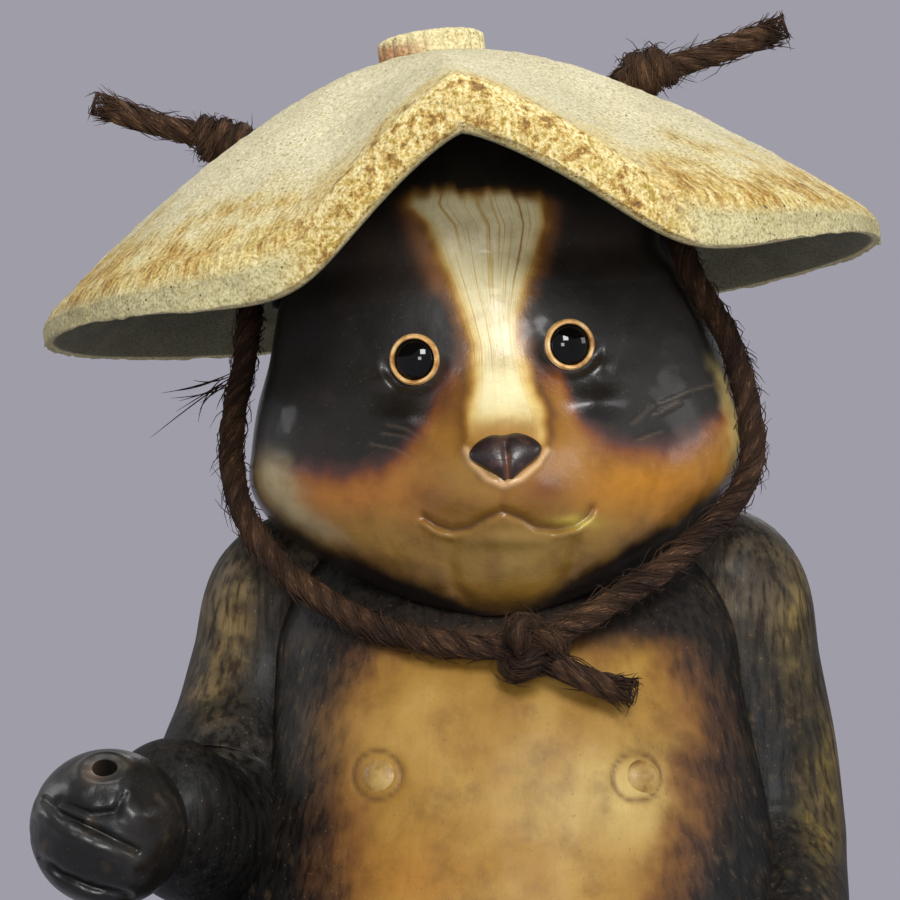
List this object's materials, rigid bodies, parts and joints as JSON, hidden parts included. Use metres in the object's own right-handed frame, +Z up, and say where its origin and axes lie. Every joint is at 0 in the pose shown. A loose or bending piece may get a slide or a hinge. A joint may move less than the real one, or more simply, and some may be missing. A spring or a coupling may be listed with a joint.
{
  "type": "tanuki statue",
  "caption": "Standing raccoon-dog figure in glazed stoneware, with a raised fist bored through and a separate conical hat that is roped on and rocks on its crown.",
  "frame": {"origin": "middle of the flat base that the figure stands on", "axes": "+Z up, -Y the way the figure faces, +X towards the figure's own left"},
  "size_m": [0.2991, 0.2987, 0.5038],
  "materials": {
    "glazed_stoneware": "charcoal-black and ochre glaze with a semi-gloss, in patches that fade into each other",
    "rough_stoneware": "pale coarse stoneware with ochre ash glaze pooled at the rims",
    "gold_glaze": "golden tan glaze, glossy",
    "black_gloss_glaze": "black glaze, high gloss",
    "palm_fibre_rope": "dark brown twisted palm fibre, hairy and matt"
  },
  "bodies": {
    "figure": {"torso": "glazed_stoneware", "head": "glazed_stoneware", "right_ear": "glazed_stoneware", "left_ear": "glazed_stoneware", "right_eye_ring": "gold_glaze", "left_eye_ring": "gold_glaze", "right_eyeball": "black_gloss_glaze", "left_eyeball": "black_gloss_glaze", "nose": "glazed_stoneware", "right_chest_stud": "glazed_stoneware", "left_chest_stud": "glazed_stoneware", "right_arm": "glazed_stoneware", "right_fist": "glazed_stoneware", "left_arm": "glazed_stoneware", "left_hand": "glazed_stoneware", "right_foot": "glazed_stoneware", "left_foot": "glazed_stoneware", "tail": "glazed_stoneware", "right_strap": "palm_fibre_rope", "left_strap": "palm_fibre_rope", "chin_knot": "palm_fibre_rope", "chin_tail": "palm_fibre_rope"},
    "hat": {"hat_shell": "rough_stoneware", "hat_knob": "rough_stoneware", "right_top_knot": "palm_fibre_rope", "left_top_knot": "palm_fibre_rope", "right_top_tail": "palm_fibre_rope", "left_top_tail": "palm_fibre_rope"}
  },
  "joints": [
    {"name": "hat_tilt", "type": "hinge", "parent": "figure", "child": "hat", "pos_m": [-0.01164, 0, 0.41184], "axis": [0.9921, 0, 0.1253], "range_deg": [-8, 5], "deforming": ["right_strap", "left_strap"]}
  ]
}
